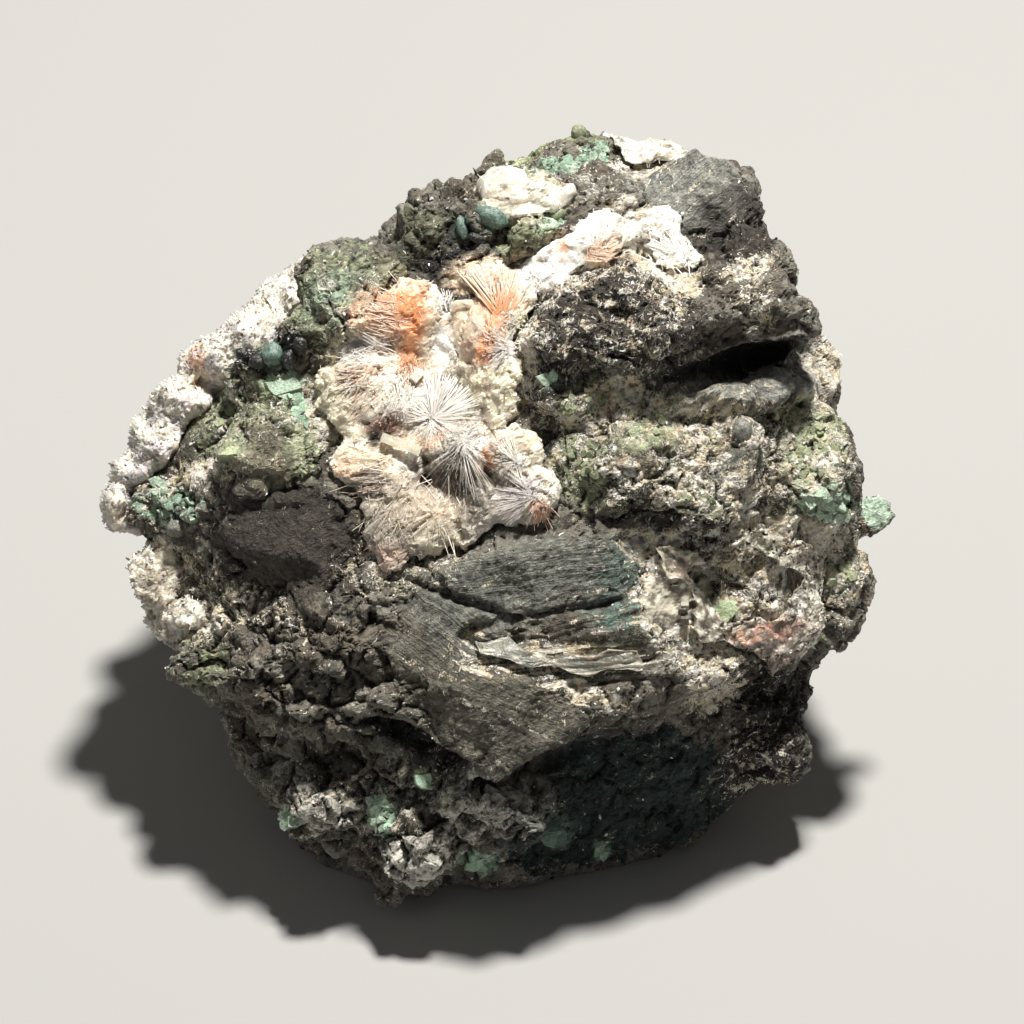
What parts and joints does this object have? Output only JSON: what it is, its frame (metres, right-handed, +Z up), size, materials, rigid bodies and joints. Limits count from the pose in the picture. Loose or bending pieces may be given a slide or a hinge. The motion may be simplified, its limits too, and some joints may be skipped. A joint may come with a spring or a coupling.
{
  "type": "thomsonite specimen",
  "caption": "Hand-sized broken basalt block with radiating white, orange and pink thomsonite in a hollow, green celadonite skins and a flat underside to rest on.",
  "frame": {"origin": "middle of the bounding box, on the flat underside that it rests on", "axes": "+Z up from the underside, +X to the right and -Y towards the viewer of the show face"},
  "size_m": [0.1276, 0.1024, 0.096],
  "materials": {
    "basalt_matrix": "broken, dull, with dark glassy spots and green celadonite skins",
    "thomsonite_hollow_crust": "fibrous, pearly to glassy, cream, white and orange",
    "thomsonite_pillow_crust": "finely granular, cream",
    "thomsonite_shoulder_crust": "fibrous, glassy, white with lavender and orange tints",
    "thomsonite_side_crust": "frothy, white to pink",
    "thomsonite_crown_crust": "fibrous, white",
    "thomsonite_left_crust": "granular, white",
    "thomsonite_vein": "ridged, white"
  },
  "bodies": {
    "root": {"basalt_matrix": "basalt_matrix", "thomsonite_hollow_crust": "thomsonite_hollow_crust", "thomsonite_pillow_crust": "thomsonite_pillow_crust", "thomsonite_shoulder_crust": "thomsonite_shoulder_crust", "thomsonite_side_crust": "thomsonite_side_crust", "thomsonite_crown_crust": "thomsonite_crown_crust", "thomsonite_left_crust": "thomsonite_left_crust", "thomsonite_vein": "thomsonite_vein"}
  },
  "joints": []
}
